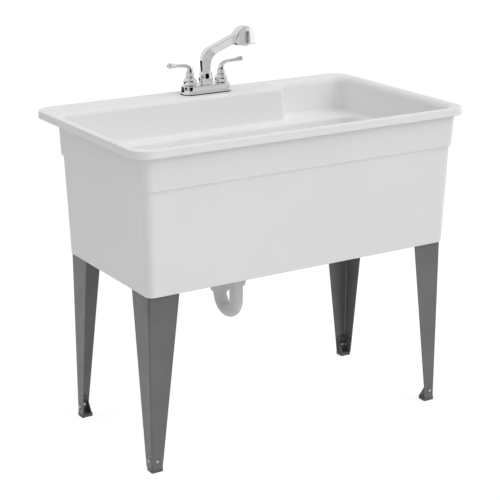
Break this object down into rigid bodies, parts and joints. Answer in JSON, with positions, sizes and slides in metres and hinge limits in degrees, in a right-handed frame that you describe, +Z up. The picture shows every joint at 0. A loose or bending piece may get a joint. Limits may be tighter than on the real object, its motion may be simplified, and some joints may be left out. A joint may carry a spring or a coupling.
{
  "type": "utility laundry sink",
  "caption": "Free-standing laundry tub on angle legs with a tap deck, a centreset tap with swing spout, and a P-trap below.",
  "frame": {"origin": "on the floor, under the middle of the rim", "axes": "+X to the right seen from the front, +Y towards the wall behind the tap deck, +Z up"},
  "size_m": [1.016, 0.6096, 1.0437],
  "materials": {
    "basin_polymer": "satin moulded white polymer",
    "leg_paint": "grey powder coat",
    "foot_plastic": "moulded grey plastic",
    "fastener_steel": "zinc plated",
    "stainless": "satin stainless",
    "chrome": "polished chrome plate",
    "brass": "machined",
    "rubber_black": "matt rubber",
    "seal_white": "moulded polyethylene",
    "nut_plastic": "moulded nylon",
    "white_pvc": "moulded white plumbing plastic"
  },
  "bodies": {
    "sink": {"tub_basin": "basin_polymer", "foot_screws": "fastener_steel", "foot_nuts": "fastener_steel", "leg_screws": "fastener_steel", "drain_flange": "stainless", "drain_gasket": "rubber_black", "drain_washer": "white_pvc", "drain_locknut": "white_pvc", "tailpiece": "white_pvc", "tailpiece_nut": "white_pvc", "trap_inlet_nut": "white_pvc", "trap_outlet_nut": "white_pvc", "slip_washers": "seal_white", "j_bend": "white_pvc", "trap_arm": "white_pvc", "tap_gasket": "rubber_black", "tap_base": "chrome", "tap_waterway": "brass", "hot_valve": "brass", "cold_valve": "brass", "hot_bonnet": "chrome", "cold_bonnet": "chrome", "mounting_washers": "fastener_steel", "mounting_nuts": "nut_plastic", "spout_nut": "chrome", "leg_front_left": "leg_paint", "leg_front_right": "leg_paint", "leg_rear_left": "leg_paint", "leg_rear_right": "leg_paint"},
    "hot_tap": {"hot_handle": "chrome", "hot_stem": "brass", "hot_handle_screw": "fastener_steel"},
    "cold_tap": {"cold_handle": "chrome", "cold_stem": "brass", "cold_handle_screw": "fastener_steel"},
    "swing_spout": {"spout": "chrome", "spout_ring": "seal_white", "spout_o_ring": "rubber_black", "aerator": "chrome", "aerator_screen": "stainless"},
    "stopper": {"drain_stopper": "rubber_black"},
    "foot_front_left": {"foot_front_left": "foot_plastic"},
    "foot_front_right": {"foot_front_right": "foot_plastic"},
    "foot_rear_left": {"foot_rear_left": "foot_plastic"},
    "foot_rear_right": {"foot_rear_right": "foot_plastic"}
  },
  "joints": [
    {"name": "hot_handle_turn", "type": "hinge", "parent": "sink", "child": "hot_tap", "pos_m": [-0.0508, 0.245, 0.93], "axis": [0, 0, 1], "range_deg": [0, 90]},
    {"name": "cold_handle_turn", "type": "hinge", "parent": "sink", "child": "cold_tap", "pos_m": [0.0508, 0.245, 0.93], "axis": [0, 0, -1], "range_deg": [0, 90]},
    {"name": "spout_swivel", "type": "hinge", "parent": "sink", "child": "swing_spout", "pos_m": [0, 0.245, 0.93], "axis": [0, 0, 1], "range_deg": [-194, 14]},
    {"name": "stopper_lift", "type": "slide", "parent": "sink", "child": "stopper", "axis": [0, 0, 1], "range_m": [0, 0.06]},
    {"name": "level_front_left", "type": "slide", "parent": "sink", "child": "foot_front_left", "axis": [0, 0, -1], "range_m": [0, 0.012]},
    {"name": "level_front_right", "type": "slide", "parent": "sink", "child": "foot_front_right", "axis": [0, 0, -1], "range_m": [0, 0.012]},
    {"name": "level_rear_left", "type": "slide", "parent": "sink", "child": "foot_rear_left", "axis": [0, 0, -1], "range_m": [0, 0.012]},
    {"name": "level_rear_right", "type": "slide", "parent": "sink", "child": "foot_rear_right", "axis": [0, 0, -1], "range_m": [0, 0.012]}
  ]
}
